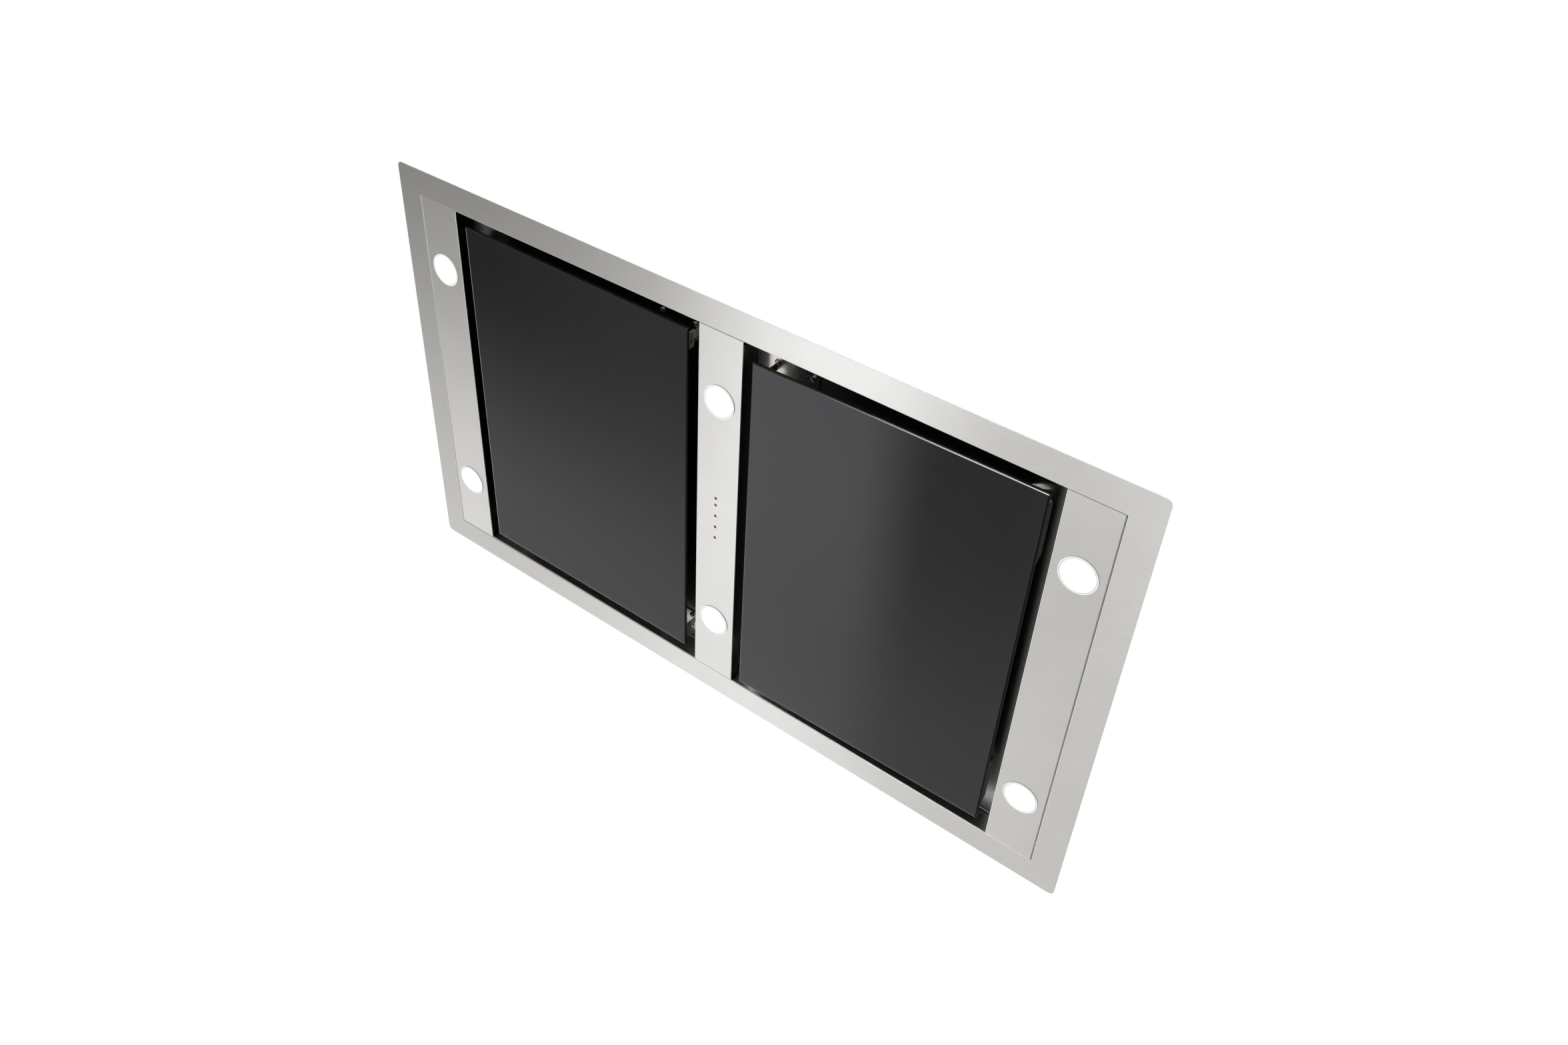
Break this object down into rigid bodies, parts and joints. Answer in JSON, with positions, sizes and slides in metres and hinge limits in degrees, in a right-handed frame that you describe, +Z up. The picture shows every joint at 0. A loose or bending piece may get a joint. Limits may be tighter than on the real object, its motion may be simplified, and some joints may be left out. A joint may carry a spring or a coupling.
{
  "type": "ceiling range hood",
  "caption": "Ceiling-recessed range hood: brushed steel frame with lamp strips, hinged black glass suction panels, and a blower housing above the ceiling with a round duct outlet.",
  "frame": {"origin": "middle of the ceiling cut-out, in the ceiling plane that the rim lies against", "axes": "+X along the long side, +Y across the hood, +Z up into the ceiling"},
  "size_m": [1.2, 0.7, 0.3774],
  "materials": {
    "brushed_rim": "brushed along the long side",
    "brushed_strip": "fine brushed",
    "galvanised": "galvanised sheet",
    "inner_steel": "brushed stainless sheet",
    "black_glass": "polished, back-coated black",
    "tray_steel": "satin black coating",
    "nickel": "bright nickel plate",
    "zinc": "zinc plate",
    "aluminium": "mill finish",
    "filter_alu": "anodised",
    "black_plastic": "fine grained",
    "grey_plastic": "fine grained",
    "white_plastic": "smooth",
    "board_green": "solder-masked board",
    "window_black": "glossy",
    "light_red": "glossy dark red",
    "lens_frost": "frosted, lit from behind",
    "bezel_steel": "satin",
    "motor_paint": "satin black",
    "wheel_steel": "galvanised",
    "spring_steel": "spring steel"
  },
  "bodies": {
    "hood_body": {"trim_frame": "brushed_rim", "light_strip_left": "brushed_strip", "light_strip_centre": "brushed_strip", "light_strip_right": "brushed_strip", "recess_plate": "inner_steel", "housing_shell": "galvanised", "housing_lid": "galvanised", "outlet_collar": "galvanised", "damper_pins": "zinc", "blower_scroll": "galvanised", "blower_motor": "motor_paint", "motor_mount": "galvanised", "control_box": "grey_plastic", "cable_gland": "black_plastic", "lamp_driver": "white_plastic", "control_board": "board_green", "infrared_window": "window_black", "indicator_lights": "light_red", "lamp_clips": "spring_steel", "pan_head_screws": "zinc", "suspension_bracket_front_left": "galvanised", "suspension_bracket_front_right": "galvanised", "suspension_bracket_rear_left": "galvanised", "suspension_bracket_rear_right": "galvanised", "lamp_bezel_left_front": "bezel_steel", "lamp_lens_left_front": "lens_frost", "lamp_bezel_left_rear": "bezel_steel", "lamp_lens_left_rear": "lens_frost", "lamp_bezel_centre_front": "bezel_steel", "lamp_lens_centre_front": "lens_frost", "lamp_bezel_centre_rear": "bezel_steel", "lamp_lens_centre_rear": "lens_frost", "lamp_bezel_right_front": "bezel_steel", "lamp_lens_right_front": "lens_frost", "lamp_bezel_right_rear": "bezel_steel", "lamp_lens_right_rear": "lens_frost", "left_hinge_brackets": "nickel", "left_hinge_pins": "zinc", "left_catches": "nickel", "left_filter_frame": "filter_alu", "left_filter_mesh": "filter_alu", "right_hinge_brackets": "nickel", "right_hinge_pins": "zinc", "right_catches": "nickel", "right_filter_frame": "filter_alu", "right_filter_mesh": "filter_alu"},
    "left_panel": {"left_panel_glass": "black_glass", "left_panel_tray": "tray_steel", "left_hinge_arms": "nickel", "left_panel_strikers": "nickel"},
    "left_latch": {"left_filter_latch": "black_plastic"},
    "right_panel": {"right_panel_glass": "black_glass", "right_panel_tray": "tray_steel", "right_hinge_arms": "nickel", "right_panel_strikers": "nickel"},
    "right_latch": {"right_filter_latch": "black_plastic"},
    "impeller": {"blower_impeller": "wheel_steel", "motor_shaft": "zinc"},
    "front_flap": {"damper_flap_front": "aluminium"},
    "rear_flap": {"damper_flap_rear": "aluminium"}
  },
  "joints": [
    {"name": "left_panel_hinge", "type": "hinge", "parent": "hood_body", "child": "left_panel", "pos_m": [-0.456, 0, 0.0168], "axis": [0, 1, 0], "range_deg": [0, 88]},
    {"name": "right_panel_hinge", "type": "hinge", "parent": "hood_body", "child": "right_panel", "pos_m": [0.456, 0, 0.0168], "axis": [0, -1, 0], "range_deg": [-1, 87]},
    {"name": "left_latch_slide", "type": "slide", "parent": "hood_body", "child": "left_latch", "axis": [-1, 0, 0], "range_m": [0, 0.0055], "stiffness_N_per_m": 300, "springref_m": -0.003},
    {"name": "right_latch_slide", "type": "slide", "parent": "hood_body", "child": "right_latch", "axis": [1, 0, 0], "range_m": [0, 0.0055], "stiffness_N_per_m": 300, "springref_m": -0.003},
    {"name": "impeller_spin", "type": "hinge", "parent": "hood_body", "child": "impeller", "pos_m": [0, -0.055, 0.158], "axis": [1, 0, 0], "continuous": true},
    {"name": "front_flap_hinge", "type": "hinge", "parent": "hood_body", "child": "front_flap", "pos_m": [0, -0.006, 0.3232], "axis": [-1, 0, 0], "range_deg": [0, 80]},
    {"name": "rear_flap_hinge", "type": "hinge", "parent": "hood_body", "child": "rear_flap", "pos_m": [0, 0.006, 0.3232], "axis": [1, 0, 0], "range_deg": [0, 80]}
  ]
}
